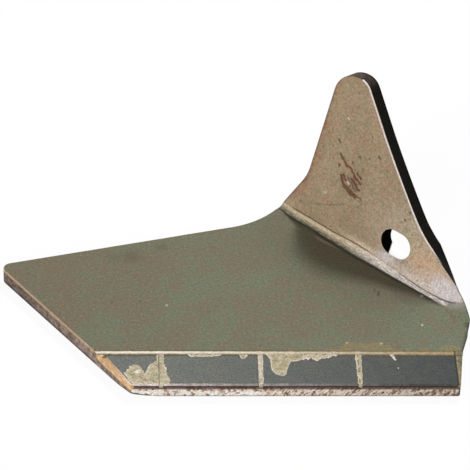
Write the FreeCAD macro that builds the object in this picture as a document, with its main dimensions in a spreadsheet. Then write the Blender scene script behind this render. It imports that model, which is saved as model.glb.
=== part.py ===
import FreeCAD, Part
import math
import os
import Sketcher
from FreeCAD import Placement, Rotation, Vector

# A wing share for a cultivator leg. One steel plate is flame-cut, folded along an oblique line
# and given a bolt hole. Four carbide tiles are brazed into a step milled along its cutting edge.

os.makedirs("parts", exist_ok=True)
doc = FreeCAD.newDocument("WingShare")
sheet = doc.addObject("Spreadsheet::Sheet", "Sizes")

# Lengths are in millimetres and angles in degrees. X runs along the cutting edge, Y to the rear.
# "Along" is measured along the fold from its left end, "height" up the face of the upright.
DRIVING_SIZES = {
    "plate_thickness": 8,
    "fold_angle": 43.5,
    "fold_length": 123.2,
    "bend_inner_radius": 4,
    "upright_lean": 14,
    "side_inset": 8.2,
    "side_reach": 43.9,
    "side_bulge_inset": 0.6,
    "side_bulge_reach": 5.9,
    "flank_angle": 53,
    "rear_edge_angle": 14.3,
    "rear_straight": 2.2,
    "tip_radius": 4,
    "rear_hollow_radius": 45,
    "side_bulge_radius": 30,
    "fold_left_shift": 1.2,
    "fold_right_shift": 15.9,
    "upright_height": 86.3,
    "peak_along": 16.3,
    "peak_width": 16.7,
    "peak_left_radius": 13,
    "peak_right_radius": 9,
    "waist_along": 11.5,
    "waist_height": 24,
    "waist_radius": 25,
    "edge_hollow_radius": 600,
    "hole_width": 13,
    "hole_length": 17.6,
    "hole_inset": 36.7,
    "hole_height": 14.5,
    "step_width": 22.5,
    "step_side_slant": 2.9,
    "tile_length": 45,
    "tile_width": 19.5,
    "tile_thickness": 2.5,
    "tile_edge_break": 0.25,
    "seam_width": 1.8,
    "end_seam_width": 1.3,
    "first_tile_front": 13.1,
    "first_tile_angle": 58,
    "first_tile_margin": 0.2,
    "braze_bed": 0.3,
    "spill_thickness": 0.4,
    "spill_length": 24,
    "spill_floor_gap": 0.6,
    "front_bead_thickness": 0.5,
    "smear_height": 0.2,
    "tile_smear_length": 15,
    "tile_smear_width": 13,
    "tile_smear_radius": 4,
    "drip_inset": 2.3,
    "drip_width": 11,
    "drip_length": 14,
    "drip_radius": 4,
}

# The tiles that fill the step, from the cut one at the flank to the one at the plate's side.
TILES = 4

for row, (name, value) in enumerate(DRIVING_SIZES.items(), start=1):
    sheet.set(f"A{row}", name)
    sheet.set(f"B{row}", str(value))
    sheet.setAlias(f"B{row}", name)
doc.recompute()


class Bound:
    """A number that remembers the sheet expression it comes from, so that a formula is written
    once and serves both the first drawing of a sketch and the constraint that drives it."""

    def __init__(self, value, text):
        self.value = float(value)
        self.text = text

    def __add__(self, other):
        other = bound(other)
        return Bound(self.value + other.value, f"({self.text} + {other.text})")

    def __sub__(self, other):
        other = bound(other)
        return Bound(self.value - other.value, f"({self.text} - {other.text})")

    def __mul__(self, other):
        other = bound(other)
        return Bound(self.value * other.value, f"({self.text} * {other.text})")

    def __truediv__(self, other):
        other = bound(other)
        return Bound(self.value / other.value, f"({self.text} / {other.text})")

    def __neg__(self):
        return Bound(-self.value, f"(-1 * {self.text})")


def bound(number):
    """Wrap a plain number, and leave a bound one as it is."""
    return number if isinstance(number, Bound) else Bound(number, str(number))


def sine(angle):
    return Bound(math.sin(math.radians(angle.value)), f"sin({angle.text} * 1 deg)")


def cosine(angle):
    return Bound(math.cos(math.radians(angle.value)), f"cos({angle.text} * 1 deg)")


def tangent(angle):
    return Bound(math.tan(math.radians(angle.value)), f"tan({angle.text} * 1 deg)")


size = {name: Bound(sheet.get(name), f"Sizes.{name}") for name in DRIVING_SIZES}


def attach(body, name, plane_role, base=(0, 0, 0), axis=(0, 0, 1), angle=0):
    """A sketch on one of the body's own origin planes, shifted and turned within its frame."""
    plane = [feature for feature in body.Origin.OriginFeatures if feature.Role == plane_role][0]
    sketch = body.newObject("Sketcher::SketchObject", name)
    sketch.AttachmentSupport = (plane, [""])
    sketch.MapMode = "FlatFace"
    base = [bound(number) for number in base]
    angle = bound(angle)
    shift = Vector(*(number.value for number in base))
    sketch.AttachmentOffset = Placement(shift, Rotation(Vector(*axis), angle.value))
    for letter, number in zip("xyz", base):
        sketch.setExpression(f"AttachmentOffset.Base.{letter}", number.text)
    sketch.setExpression("AttachmentOffset.Rotation.Angle", f"{angle.text} * 1 deg")
    return sketch


def hold(sketch, kind, elements, number):
    """Add a dimension to a sketch and drive it from the sheet."""
    index = sketch.addConstraint(Sketcher.Constraint(kind, *elements, number.value))
    sketch.setExpression(f"Constraints[{index}]", number.text)


def outline(sketch, corners, hollows=()):
    """Close an outline, counter-clockwise, through corners given as pairs of bound numbers.

    hollows maps the number of a side to the radius of an arc that bows into the outline there."""
    hollows = dict(hollows)
    first = sketch.GeometryCount
    points = [Vector(bound(across).value, bound(up).value, 0) for across, up in corners]
    ends = []
    for side, start in enumerate(points):
        end = points[(side + 1) % len(points)]
        if side in hollows:
            radius = hollows[side].value
            chord = end - start
            outward = Vector(chord.y, -chord.x, 0).normalize()
            centre = (start + end) / 2 + outward * math.sqrt(radius ** 2 - (chord.Length / 2) ** 2)
            angles = [math.atan2(point.y - centre.y, point.x - centre.x) for point in (end, start)]
            circle = Part.Circle(centre, Vector(0, 0, 1), radius)
            sketch.addGeometry(Part.ArcOfCircle(circle, *angles), False)
            ends.append((2, 1))
        else:
            sketch.addGeometry(Part.LineSegment(start, end), False)
            ends.append((1, 2))
    for side in range(len(points)):
        following = (side + 1) % len(points)
        pair = (first + side, ends[side][1], first + following, ends[following][0])
        sketch.addConstraint(Sketcher.Constraint("Coincident", *pair))
    for side, (across, up) in enumerate(corners):
        hold(sketch, "DistanceX", (first + side, ends[side][0]), bound(across))
        hold(sketch, "DistanceY", (first + side, ends[side][0]), bound(up))
    for side, radius in hollows.items():
        hold(sketch, "Radius", (first + side,), radius)


def rectangle(sketch, left, right, bottom, top):
    outline(sketch, [(left, bottom), (right, bottom), (right, top), (left, top)])


def slot(sketch, across, up, reach, radius):
    """An oblong hole about a centre: two round ends, whose centres stand reach to either side."""
    middle = Vector(across.value, up.value, 0)
    side = Vector(reach.value, 0, 0)
    rise = Vector(0, radius.value, 0)
    for centre, start in ((middle + side, -math.pi / 2), (middle - side, math.pi / 2)):
        circle = Part.Circle(centre, Vector(0, 0, 1), radius.value)
        sketch.addGeometry(Part.ArcOfCircle(circle, start, start + math.pi), False)
    sketch.addGeometry(Part.LineSegment(middle + side + rise, middle - side + rise), False)
    sketch.addGeometry(Part.LineSegment(middle - side - rise, middle + side - rise), False)
    for pair in ((0, 2, 2, 1), (2, 2, 1, 1), (1, 2, 3, 1), (3, 2, 0, 1)):
        sketch.addConstraint(Sketcher.Constraint("Tangent", *pair))
    sketch.addConstraint(Sketcher.Constraint("Equal", 0, 1))
    hold(sketch, "Radius", (0,), radius)
    for end, centre_across in ((0, across + reach), (1, across - reach)):
        hold(sketch, "DistanceX", (end, 3), centre_across)
    hold(sketch, "DistanceY", (0, 3), up)
    sketch.addConstraint(Sketcher.Constraint("Horizontal", 2))


def extrude(body, kind, name, sketch, length, reversed_way=False):
    """A Pad or a Pocket of a sketch by a bound length."""
    feature = body.newObject(f"PartDesign::{kind}", name)
    feature.Profile = sketch
    feature.Reversed = reversed_way
    feature.setExpression("Length", length.text)
    doc.recompute()
    return feature


def edges_near(feature, targets, reach=0.05):
    """The names of the straight edges whose middle lies within reach of one of the targets."""
    names = []
    for number, edge in enumerate(feature.Shape.Edges, start=1):
        if not isinstance(edge.Curve, Part.Line):
            continue
        middle = (edge.Vertexes[0].Point + edge.Vertexes[-1].Point) / 2
        if any((middle - target).Length < reach for target in targets):
            names.append(f"Edge{number}")
    return names


def round_corners(body, name, targets, radius):
    """Round the edges whose middles are the targets."""
    base = body.Tip
    feature = body.newObject("PartDesign::Fillet", name)
    feature.Base = (base, edges_near(base, targets))
    feature.setExpression("Radius", radius.text)
    doc.recompute()
    return feature


def sub_part(label):
    body = doc.addObject("PartDesign::Body", label.title().replace("_", ""))
    body.Label = label
    return body


def from_fold(along, behind):
    """A place given along and behind the fold, in the blade's frame."""
    turned_x = along * cosine(size["fold_angle"]) + behind * sine(size["fold_angle"])
    turned_y = behind * cosine(size["fold_angle"]) - along * sine(size["fold_angle"])
    return turned_x, turned_y


# Places that several pieces share, in the blade's frame: its origin is the left end of the fold
# on the floor, X points along the cutting edge and Y to the rear. The cutting edge is laid out
# from the fold's right end, and it is as long as the tiles side by side.
right_angle = bound(90)
bend_angle = right_angle - size["upright_lean"]
bend_setback = size["bend_inner_radius"] * tangent(bend_angle / 2)
left_foot = from_fold(bound(0), -bend_setback)
right_foot = from_fold(size["fold_length"], -bend_setback)
edge_right = right_foot[0] - size["side_inset"]
edge_front = right_foot[1] - size["side_reach"]
last_tile_right = edge_right - size["end_seam_width"]
tile_pitch = size["tile_length"] + size["seam_width"]


def tile_right(number):
    """Where the right side of a tile lies, counted from the flank."""
    return last_tile_right - tile_pitch * (TILES - number)


edge_left = tile_right(1) - size["first_tile_front"] - size["first_tile_margin"]
flank_slope = tangent(size["flank_angle"])
step_depth = size["tile_thickness"] + size["braze_bed"]
step_floor = size["plate_thickness"] - step_depth
step_rear = edge_front + size["step_width"]
step_right = edge_right + size["step_side_slant"]
flank_at_step = edge_left - size["step_width"] / flank_slope


# The plate's body lies with its own X along the fold. The blank was cut flat, so its two ends
# wind round the bend as screw surfaces. The bend is therefore revolved over the whole fold, and
# a helix trims each end by the distance that the outline shifts along the fold on its way round.

plate = sub_part("share_plate")
bend_axis_height = size["plate_thickness"] + size["bend_inner_radius"]
trim_margin = bound(1)
trim_reach = bound(30)


def bend_sketch(name, left, right, margin):
    """A rectangle in the plane where the bend leaves the blade, with the bend axis as its X axis."""
    sketch = attach(plate, name, "XZ_Plane", (0, bend_axis_height, bend_setback))
    bottom = -bend_axis_height - margin
    top = -size["bend_inner_radius"] + margin
    rectangle(sketch, left, right, bottom, top)
    return sketch


def trim_bend(name, left, right, shift, from_the_right):
    """Cut one end of the bend along a screw surface that runs inwards round the bend."""
    helix = plate.newObject("PartDesign::SubtractiveHelix", name)
    profile = bend_sketch(f"{name}_profile", left, right, trim_margin)
    helix.Profile = profile
    helix.ReferenceAxis = (profile, ["H_Axis"])
    helix.Mode = "height-turns-angle"
    helix.setExpression("Height", shift.text)
    helix.setExpression("Turns", (bend_angle / 360).text)
    helix.Reversed = from_the_right
    helix.LeftHanded = from_the_right
    doc.recompute()
    return helix


bend_profile = bend_sketch("bend_profile", bound(0), size["fold_length"], bound(0))
bend = plate.newObject("PartDesign::Revolution", "bend")
bend.Profile = bend_profile
bend.ReferenceAxis = (bend_profile, ["H_Axis"])
bend.setExpression("Angle", f"{bend_angle.text} * 1 deg")
doc.recompute()
fold_right = size["fold_length"]
trim_bend("bend_right_end", fold_right, fold_right + trim_reach, size["fold_right_shift"], True)
trim_bend("bend_left_end", -trim_reach, bound(0), size["fold_left_shift"], False)

# The blade lies on the floor. Its rear edge starts square to the fold, turns in a hollow and meets
# the flank at the wing tip.
rear_turn = right_angle - size["fold_angle"] - size["rear_edge_angle"]
rear_side = size["rear_hollow_radius"] * tangent(rear_turn / 2) + size["rear_straight"]
rear_corner = from_fold(bound(0), -bend_setback - rear_side)
rear_slope = tangent(size["rear_edge_angle"])
flank_base = edge_front + edge_left * flank_slope
rear_base = rear_corner[1] - rear_corner[0] * rear_slope
wing_tip_x = (flank_base - rear_base) / (flank_slope + rear_slope)
wing_tip = (wing_tip_x, rear_base + wing_tip_x * rear_slope)
side_bulge = (right_foot[0] - size["side_bulge_inset"], right_foot[1] - size["side_bulge_reach"])
blade_corners = [
    (edge_left, edge_front),
    (edge_right, edge_front),
    (step_right, step_rear),
    side_bulge,
    right_foot,
    left_foot,
    rear_corner,
    wing_tip,
]
blade_outline = attach(plate, "blade_outline", "XY_Plane", angle=size["fold_angle"])
outline(blade_outline, blade_corners)
extrude(plate, "Pad", "blade", blade_outline, size["plate_thickness"])

# The upright stands on the rear of the bend. Its long edge falls in a shallow hollow to the right.
upright_frame = ((0, size["plate_thickness"], 0), (1, 0, 0), -size["upright_lean"])
upright_right = size["fold_length"] - size["fold_right_shift"]
upright_corners = [
    (size["fold_left_shift"], bend_setback),
    (upright_right, bend_setback),
    (size["peak_along"] + size["peak_width"], size["upright_height"]),
    (size["peak_along"], size["upright_height"]),
    (size["waist_along"], size["waist_height"]),
]
upright_outline = attach(plate, "upright_outline", "XZ_Plane", *upright_frame)
outline(upright_outline, upright_corners, {1: size["edge_hollow_radius"]})
extrude(plate, "Pad", "upright", upright_outline, size["plate_thickness"], True)


def blade_edge(corner):
    """The middle of the plate's upright edge at a corner of the blade, in the plate's own frame."""
    turn = Rotation(Vector(0, 0, 1), size["fold_angle"].value)
    return turn.multVec(Vector(corner[0].value, corner[1].value, size["plate_thickness"].value / 2))


def upright_edge(corner):
    """The middle of the plate's edge through a corner of the upright, in the plate's own frame."""
    lean = Rotation(Vector(1, 0, 0), -size["upright_lean"].value)
    half_way = Vector(corner[0].value, size["plate_thickness"].value / 2, corner[1].value)
    return lean.multVec(half_way) + Vector(0, 0, size["plate_thickness"].value)


round_corners(plate, "wing_tip_round", [blade_edge(wing_tip)], size["tip_radius"])
round_corners(plate, "rear_hollow", [blade_edge(rear_corner)], size["rear_hollow_radius"])
round_corners(plate, "side_bulge", [blade_edge(side_bulge)], size["side_bulge_radius"])
round_corners(plate, "waist", [upright_edge(upright_corners[4])], size["waist_radius"])
round_corners(plate, "peak_left", [upright_edge(upright_corners[3])], size["peak_left_radius"])
round_corners(plate, "peak_right", [upright_edge(upright_corners[2])], size["peak_right_radius"])

# The bolt hole is oblong along the fold, so that the share can be lined up before it is tightened.
bolt_hole_outline = attach(plate, "bolt_hole_outline", "XZ_Plane", *upright_frame)
hole_reach = (size["hole_length"] - size["hole_width"]) / 2
hole_along = upright_right - size["hole_inset"]
slot(bolt_hole_outline, hole_along, size["hole_height"], hole_reach, size["hole_width"] / 2)
extrude(plate, "Pocket", "bolt_hole", bolt_hole_outline, size["plate_thickness"])

# The step for the tiles runs out at both ends of the cutting edge and along the whole front face.
plate_top = (0, 0, size["plate_thickness"])
step_outline = attach(plate, "step_outline", "XY_Plane", plate_top, angle=size["fold_angle"])
step_end_margin = bound(5)
step_ends = (flank_at_step - step_end_margin, step_right + step_end_margin)
rectangle(step_outline, *step_ends, edge_front - step_end_margin, step_rear)
extrude(plate, "Pocket", "tile_step", step_outline, step_depth)

# Tiles: flat blocks with their edges broken, side by side from the plate's side. The one at the
# flank is cut off at an angle, so that it follows the flank.
first_tile_run = size["tile_width"] / tangent(size["first_tile_angle"])


def tile_corners(number):
    """The corners of a tile, counted from the flank."""
    right = tile_right(number)
    rear = edge_front + size["tile_width"]
    left_front = left_rear = right - size["tile_length"]
    if number == 1:
        left_front = edge_left + size["first_tile_margin"]
        left_rear = left_front - first_tile_run
    return [(left_front, edge_front), (right, edge_front), (right, rear), (left_rear, rear)]


def carbide_tile(number):
    body = sub_part(f"carbide_tile_{number}")
    bed_top = (0, 0, step_floor + size["braze_bed"])
    tile_outline = attach(body, f"tile_outline_{number}", "XY_Plane", bed_top)
    outline(tile_outline, tile_corners(number))
    block = extrude(body, "Pad", f"tile_block_{number}", tile_outline, size["tile_thickness"])
    top = max(block.Shape.Faces, key=lambda face: face.CenterOfMass.z)
    rims = [f"Edge{count}" for count, edge in enumerate(block.Shape.Edges, start=1)
            if any(edge.isSame(rim) for rim in top.Edges)]
    edge_break = body.newObject("PartDesign::Chamfer", f"tile_edge_break_{number}")
    edge_break.Base = (block, rims)
    edge_break.setExpression("Size", size["tile_edge_break"].text)
    doc.recompute()
    return body


tiles = [carbide_tile(number) for number in range(1, TILES + 1)]

# Braze: one run of metal that fills the step round and under the tiles, spills down the flank
# and the front face, and has smeared over the tiles in two places.
braze = sub_part("braze_metal")
fill_outline = attach(braze, "fill_outline", "XY_Plane", (0, 0, step_floor))
step_corners = [
    (edge_left, edge_front),
    (edge_right, edge_front),
    (step_right, step_rear),
    (flank_at_step, step_rear),
]
outline(fill_outline, step_corners)
extrude(braze, "Pad", "step_fill", fill_outline, step_depth)
beds_outline = attach(braze, "tile_beds_outline", "XY_Plane", plate_top)
for number in range(1, TILES + 1):
    outline(beds_outline, tile_corners(number))
extrude(braze, "Pocket", "tile_beds", beds_outline, size["tile_thickness"])

spill_outline = attach(braze, "flank_spill_outline", "XY_Plane", (0, 0, size["spill_floor_gap"]))
spill_out = size["spill_thickness"] / sine(size["flank_angle"])
spill_rear = edge_front + size["spill_length"]
spill_run = size["spill_length"] / flank_slope
spill_corners = [
    (edge_left - spill_out, edge_front),
    (edge_left, edge_front),
    (edge_left - spill_run, spill_rear),
    (edge_left - spill_run - spill_out, spill_rear),
]
outline(spill_outline, spill_corners)
extrude(braze, "Pad", "flank_spill", spill_outline, size["plate_thickness"] - size["spill_floor_gap"])

bead_outline = attach(braze, "front_bead_outline", "XY_Plane", (0, 0, size["spill_floor_gap"]))
bead_left = edge_left - spill_out
rectangle(bead_outline, bead_left, edge_right, edge_front - size["front_bead_thickness"], edge_front)
bead_height = step_floor + size["braze_bed"] - size["spill_floor_gap"]
extrude(braze, "Pad", "front_bead", bead_outline, bead_height)


def smear(name, left, right, front, rear, rounded, radius):
    """A thin film of braze on top of the tiles. Its front corners are round on the rounded sides."""
    film_outline = attach(braze, f"{name}_outline", "XY_Plane", plate_top)
    rectangle(film_outline, left, right, front, rear)
    extrude(braze, "Pad", name, film_outline, size["smear_height"])
    half_up = size["plate_thickness"].value + size["smear_height"].value / 2
    corners = [Vector(side.value, front.value, half_up) for side in rounded]
    round_corners(braze, f"{name}_round", corners, radius)


smear_rear = step_rear - (size["step_width"] - size["tile_width"]) / 2
first_seam = tile_right(1) + size["seam_width"] / 2
smear_left = first_seam - size["tile_smear_length"]
smear("tile_smear", smear_left, first_seam, smear_rear - size["tile_smear_width"], smear_rear,
      [smear_left], size["tile_smear_radius"])
drip_left = tile_right(2) + size["seam_width"] + size["drip_inset"]
drip_right = drip_left + size["drip_width"]
smear("drip", drip_left, drip_right, smear_rear - size["drip_length"], smear_rear,
      [drip_left, drip_right], size["drip_radius"])

# Every sub-part is placed so that the middle of the share's bounding box stands over the origin.
plate.Placement = Placement(Vector(0, 0, 0), Rotation(Vector(0, 0, 1), -size["fold_angle"].value))
doc.recompute()
sub_parts = [plate, *tiles, braze]
for item in doc.Objects:
    if "Invalid" in item.State or "Error" in item.State:
        raise RuntimeError(f"{item.Label} is {item.State}")
box = FreeCAD.BoundBox()
for body in sub_parts:
    if body.Shape.isNull() or not body.Shape.isValid():
        raise RuntimeError(f"{body.Label} has no valid shape")
    box.add(body.Shape.optimalBoundingBox(False))
stand = Placement(Vector(-box.Center.x, -box.Center.y, -box.ZMin), Rotation())
for body in sub_parts:
    body.Placement = stand.multiply(body.Placement)
doc.recompute()
for body in sub_parts:
    print(body.Label, round(body.Shape.Volume, 1), len(body.Shape.Solids), len(body.Shape.Faces))
    body.Shape.exportStep(f"parts/{body.Label}.step")
print("size", [round(length, 2) for length in (box.XLength, box.YLength, box.ZLength)])
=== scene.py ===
import math

import bpy
import numpy as np
from mathutils import Matrix, Vector
from mathutils.geometry import delaunay_2d_cdt


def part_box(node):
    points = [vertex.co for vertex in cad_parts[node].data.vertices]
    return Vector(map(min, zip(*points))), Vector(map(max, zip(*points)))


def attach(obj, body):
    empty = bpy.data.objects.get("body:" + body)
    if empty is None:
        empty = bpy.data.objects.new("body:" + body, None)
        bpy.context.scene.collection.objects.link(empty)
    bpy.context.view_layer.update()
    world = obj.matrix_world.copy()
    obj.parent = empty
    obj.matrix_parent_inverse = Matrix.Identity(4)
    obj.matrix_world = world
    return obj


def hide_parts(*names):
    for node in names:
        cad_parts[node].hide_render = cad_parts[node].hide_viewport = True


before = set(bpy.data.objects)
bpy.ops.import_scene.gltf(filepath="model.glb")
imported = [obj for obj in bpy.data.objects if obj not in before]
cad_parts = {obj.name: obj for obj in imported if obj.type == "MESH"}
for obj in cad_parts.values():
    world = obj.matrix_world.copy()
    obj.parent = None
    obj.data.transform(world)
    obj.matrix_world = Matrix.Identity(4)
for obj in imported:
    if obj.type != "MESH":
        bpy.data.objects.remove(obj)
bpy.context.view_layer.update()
MM = 0.001

# Plate
# One blank of 8 mm wear steel, flame-cut flat and folded once in a press, with a step milled along
# its cutting edge. The blank is laid out flat here and is then wound round the bend.
THICKNESS = 8.0
BEND_INNER = 4.0
LEAN_DEGREES = 14
BEND = math.radians(90 - LEAN_DEGREES)
SETBACK = BEND_INNER * math.tan(BEND / 2)
BEND_RUN = (BEND_INNER + THICKNESS / 2) * BEND
# The fold, the flank and the rear side run at these angles to the cutting edge.
FOLD_DEGREES, FLANK_DEGREES, REAR_DEGREES = 43.5, 53, 14.3
FOLD_ANGLE = math.radians(FOLD_DEGREES)
FOLD_LENGTH = 123.2
ALONG = np.array([math.cos(FOLD_ANGLE), -math.sin(FOLD_ANGLE), 0.0])
BEHIND = np.array([math.sin(FOLD_ANGLE), math.cos(FOLD_ANGLE), 0.0])
UP = np.array([0.0, 0.0, 1.0])

tile_low, tile_high = (np.array(corner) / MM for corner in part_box("carbide_tile_4"))
first_tile_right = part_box("carbide_tile_1")[1][0] / MM
FIRST_TILE_FRONT, FIRST_TILE_MARGIN = 13.1, 0.2
EDGE_FRONT = tile_low[1]
EDGE_RIGHT = tile_high[0] + 1.3
EDGE_LEFT = first_tile_right - FIRST_TILE_FRONT - FIRST_TILE_MARGIN
right_foot = np.array([EDGE_RIGHT + 8.2, EDGE_FRONT + 43.9, 0.0])
fold_start = right_foot - FOLD_LENGTH * ALONG + SETBACK * BEHIND
# The braze laps the step's rear wall by 0.6 mm, so the step reaches that much further back here.
BRAZE_LAP = 0.6
STEP_DEPTH = 22.5 + BRAZE_LAP
STEP_REAR = EDGE_FRONT + STEP_DEPTH
STEP_FLOOR = THICKNESS - 2.8
STEP_FLARE = 2.9
STEP_RIGHT = EDGE_RIGHT + STEP_FLARE


def on_blank(x, y):
    """Where a place on the blade lies on the blank: its offset from the fold's left end, measured
    along the fold and square to it, where across is 0 at the line on which the bend begins."""
    offset = np.array([x, y, 0.0]) - fold_start
    return offset @ ALONG, offset @ BEHIND + SETBACK


def on_blade(places):
    """The x and y on the blade of places on the blank's flat part."""
    offset = places[:, :1] * ALONG[:2] + (places[:, 1:] - SETBACK) * BEHIND[:2]
    return (fold_start[:2] + offset).T


def between(value, start, end):
    """The share of the way from start to end that a value has gone, from 0 to 1."""
    return np.clip((value - start) / (end - start), 0, 1)


def bell(gap, width):
    """A soft ridge: exp(-(gap / width)^2)."""
    return np.exp(-((gap / width) ** 2))


def folded(along, across, height):
    """The folded place of each point of the blank. Up to its start the blank lies flat, then it winds
    round the bend's axis by the share of the run that it has passed, and past the end it runs on
    straight. The bend's inner radius opens from 4 to 16 mm towards the right end, where the press
    tool ended."""
    opening = between(along, 98, 123)
    inner = BEND_INNER + 12 * opening**2 * (3 - 2 * opening)
    setback = inner * math.tan(BEND / 2)
    start, end = SETBACK - setback, BEND_RUN + setback - SETBACK
    turn = BEND * between(across, start, end)
    radius = inner + THICKNESS - height
    flat, straight = np.minimum(across - start, 0), np.maximum(across - end, 0)
    behind = flat - setback + radius * np.sin(turn) + straight * np.cos(turn)
    up = inner + THICKNESS - radius * np.cos(turn) + straight * np.sin(turn)
    parts = ((along, ALONG), (behind, BEHIND), (up, UP))
    return fold_start + sum(amount[..., None] * axis for amount, axis in parts)


def rounded_outline(corners, spacing):
    """A closed outline of straight sides joined by arcs, as evenly spaced points.

    corners holds along, across and radius. Where a corner turns by f, its arc of radius r starts
    r tan(f / 2) before the corner and goes forward by r sin(g) and sideways by r (1 - cos(g))."""
    corners = np.array(corners, float)
    places, radii = corners[:, :2], corners[:, 2]
    ahead = np.roll(places, -1, axis=0) - places
    ahead /= np.linalg.norm(ahead, axis=1)[:, None]
    before = np.roll(ahead, 1, axis=0)
    left = np.stack([-before[:, 1], before[:, 0]], axis=1)
    turn = np.arctan2((left * ahead).sum(1), (before * ahead).sum(1))
    start = places - before * (radii * np.tan(np.abs(turn) / 2))[:, None]
    swept = np.abs(turn)[:, None] * np.linspace(0, 1, 25)
    forward = (radii[:, None] * np.sin(swept))[..., None] * before[:, None]
    sideways = (np.sign(turn) * radii)[:, None] * (1 - np.cos(swept))
    line = (start[:, None] + forward + sideways[..., None] * left[:, None]).reshape(-1, 2)
    line = np.vstack([line, line[:1]])
    length = np.concatenate([[0], np.cumsum(np.linalg.norm(np.diff(line, axis=0), axis=1))])
    even = np.linspace(0, length[-1], int(length[-1] / spacing), endpoint=False)
    return np.stack([np.interp(even, length, line[:, axis]) for axis in (0, 1)], axis=1)


def outward(loop):
    """The unit normals of a counter-clockwise loop, square to the chord between the neighbours."""
    chord = np.roll(loop, -1, axis=0) - np.roll(loop, 1, axis=0)
    chord /= np.linalg.norm(chord, axis=1)[:, None]
    return np.stack([chord[:, 1], -chord[:, 0]], axis=1)


def patchy(x, y, size, seed):
    """Smooth random values from -1 to 1: numbers on a lattice of the given size, blended between
    its nodes by the weight 3t^2 - 2t^3 along x and along y."""
    table = np.random.default_rng(seed).uniform(-1, 1, (256, 256))
    column, row = np.floor(x / size).astype(int), np.floor(y / size).astype(int)
    across, up = x / size - column, y / size - row
    across, up = across**2 * (3 - 2 * across), up**2 * (3 - 2 * up)
    low_left, low_right = table[row % 256, column % 256], table[row % 256, (column + 1) % 256]
    row = (row + 1) % 256
    high_left, high_right = table[row, column % 256], table[row, (column + 1) % 256]
    low = low_left * (1 - across) + low_right * across
    return low * (1 - up) + (high_left * (1 - across) + high_right * across) * up


def ring_quads(rings, count):
    """Quads between successive closed rings of count points each, numbered ring after ring."""
    ring = np.arange(rings - 1)[:, None] * count
    here = np.arange(count)[None, :]
    beside = (here + 1) % count
    corners = [ring + here, ring + beside, ring + count + beside, ring + count + here]
    return np.stack(corners, axis=-1).reshape(-1, 4)


def grid_quads(corner, count):
    """Quads of a grid with count points in a row, each from its first corner's number."""
    return np.stack([corner, corner + 1, corner + count + 1, corner + count], axis=-1).reshape(-1, 4)


def new_piece(name, places, faces, node):
    """A smooth mesh of places in millimetres, which rides on the share and stands for a node."""
    mesh = bpy.data.meshes.new(name)
    mesh.from_pydata((np.asarray(places) * MM).tolist(), [], [list(face) for face in faces])
    mesh.update()
    mesh.polygons.foreach_set("use_smooth", np.ones(len(mesh.polygons), bool))
    piece = bpy.data.objects.new(name, mesh)
    bpy.context.scene.collection.objects.link(piece)
    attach(piece, "root")
    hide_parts(node)
    return piece


def store(piece, **marks):
    """Keep one number per vertex in the mesh under each name, for the material to read."""
    for name, values in marks.items():
        attribute = piece.data.attributes.new(name, "FLOAT", "POINT")
        attribute.data.foreach_set("value", np.asarray(values, np.float32).ravel())


# The blank's outline. The upright's right side bows in, and the flank meets the rear side at the wing.
upright_right = FOLD_LENGTH - 15.9
rise = BEND_RUN - SETBACK
peak_left = np.array([16.3, rise + 86.3])
peak = peak_left + (16.7, 0)
left_hollow, left_foot = (11.5, rise + 24.0), (1.2, BEND_RUN)
upright_foot = np.array([upright_right, BEND_RUN])
BOW_DEPTH = 2.45
bow = np.linspace(0.33, 0.74, 8)[:, None]
side = peak - upright_foot
bow_in = np.array([-side[1], side[0]]) / np.linalg.norm(side)
bowed = upright_foot + bow * side + 4 * BOW_DEPTH * bow * (1 - bow) * bow_in
HOLLOW_RADIUS = 45
rear_side = HOLLOW_RADIUS * math.tan(math.radians(90 - FOLD_DEGREES - REAR_DEGREES) / 2) + 2.2
rear_corner = fold_start + (-SETBACK - rear_side) * BEHIND
flank_slope, rear_slope = (math.tan(math.radians(angle)) for angle in (FLANK_DEGREES, REAR_DEGREES))
flank_base = EDGE_FRONT + EDGE_LEFT * flank_slope
rear_base = rear_corner[1] - rear_corner[0] * rear_slope
wing_x = (flank_base - rear_base) / (flank_slope + rear_slope)
# The corners run counter-clockwise from the cutting edge's left end, each with its radius.
blank_corners = [
    (*on_blank(EDGE_LEFT, EDGE_FRONT), 3.0),
    (*on_blank(EDGE_RIGHT, EDGE_FRONT), 1.0),
    (*on_blank(STEP_RIGHT, STEP_REAR - BRAZE_LAP), 12.0),
    (*on_blank(right_foot[0] - 0.6, right_foot[1] - 5.9), 26.0),
    (123.8, 3.2, 12.0),
    (109.5, 18.6, 14.0),
    (87.5, 31.9, 25.0),
    *[(*place, 40.0) for place in bowed],
    (*peak, 9.0),
    (*peak_left, 13.0),
    (*left_hollow, 25.0),
    (*left_foot, 4.0),
    (0.0, 0.0, 2.0),
    (0.0, -rear_side, HOLLOW_RADIUS),
    (*on_blank(wing_x, rear_base + wing_x * rear_slope), 4.0),
]
OUTLINE_SPACING = 0.45
outline = rounded_outline(blank_corners, OUTLINE_SPACING)
HOLE_WIDTH, HOLE_LENGTH = 13, 17.6
hole_along, hole_up = upright_right - 36.7, rise + 14.5
hole_corners = [
    (hole_along + end * HOLE_LENGTH / 2, hole_up + level * HOLE_WIDTH / 2, HOLE_WIDTH / 2 - 0.01)
    for end, level in ((-1, -1), (1, -1), (1, 1), (-1, 1))
]
hole = rounded_outline(hole_corners, OUTLINE_SPACING)


def inside(places, loop):
    """Whether each place lies within a closed loop: a ray to the right crosses it an odd number of
    times."""
    x, y = places[:, 0, None], places[:, 1, None]
    start, end = loop, np.roll(loop, -1, axis=0)
    spans = (start[:, 1] > y) != (end[:, 1] > y)
    slant = (end[:, 0] - start[:, 0]) / (end[:, 1] - start[:, 1] + 1e-12)
    crossings = spans & (x < start[:, 0] + (y - start[:, 1]) * slant)
    return crossings.sum(1) % 2 == 1


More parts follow.
